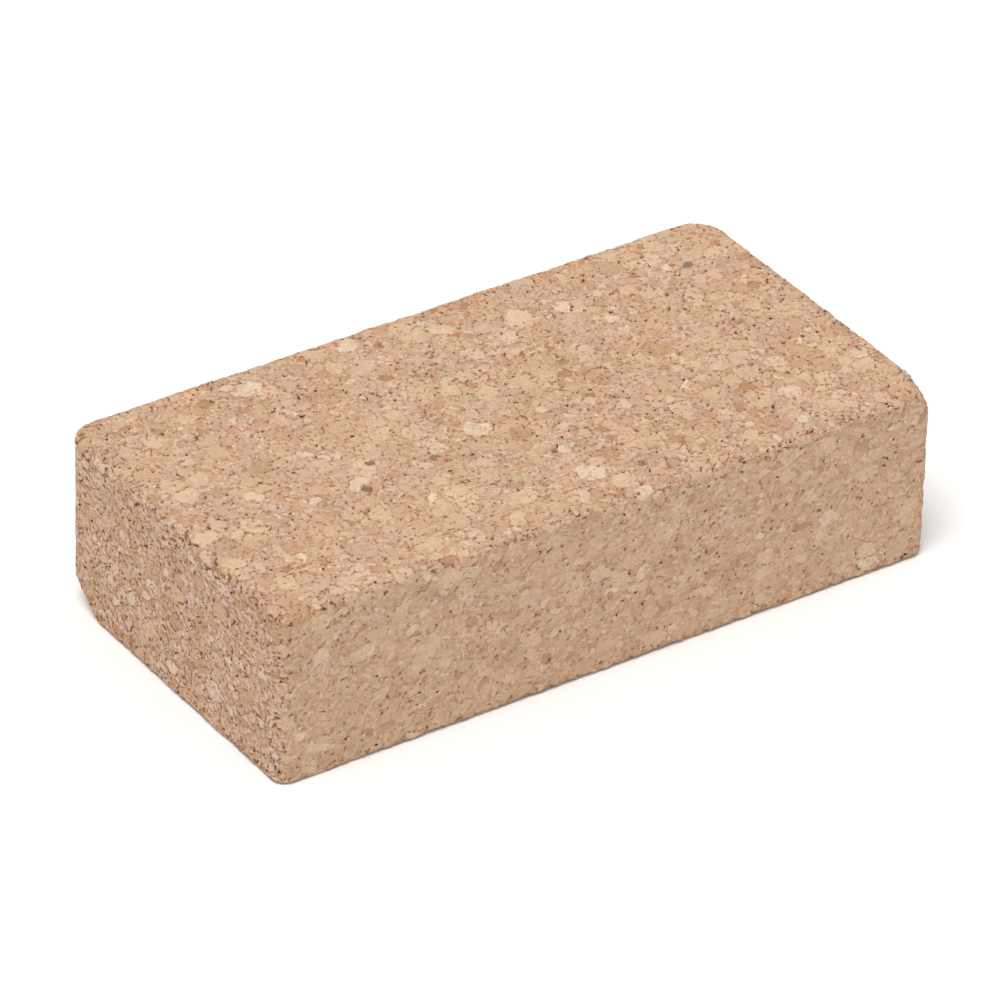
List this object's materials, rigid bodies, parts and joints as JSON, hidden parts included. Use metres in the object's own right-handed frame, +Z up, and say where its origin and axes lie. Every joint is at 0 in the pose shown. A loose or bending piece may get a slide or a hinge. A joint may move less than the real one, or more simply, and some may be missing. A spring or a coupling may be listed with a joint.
{
  "type": "sanding block",
  "caption": "Rectangular cork block that abrasive paper is wrapped round, held in the hand to sand flat surfaces by rubbing with its broad face.",
  "frame": {"origin": "middle of the sole, the broad flat face that the block rests on", "axes": "+X along the length, +Y across the width towards the side with the softer upright corners, +Z up through the thickness"},
  "size_m": [0.12, 0.062, 0.03],
  "materials": {
    "cork": "matte, granular pressed cork, yellow-tan with small dark red-brown specks and pits"
  },
  "bodies": {
    "root": {"cork_block": "cork"}
  },
  "joints": []
}
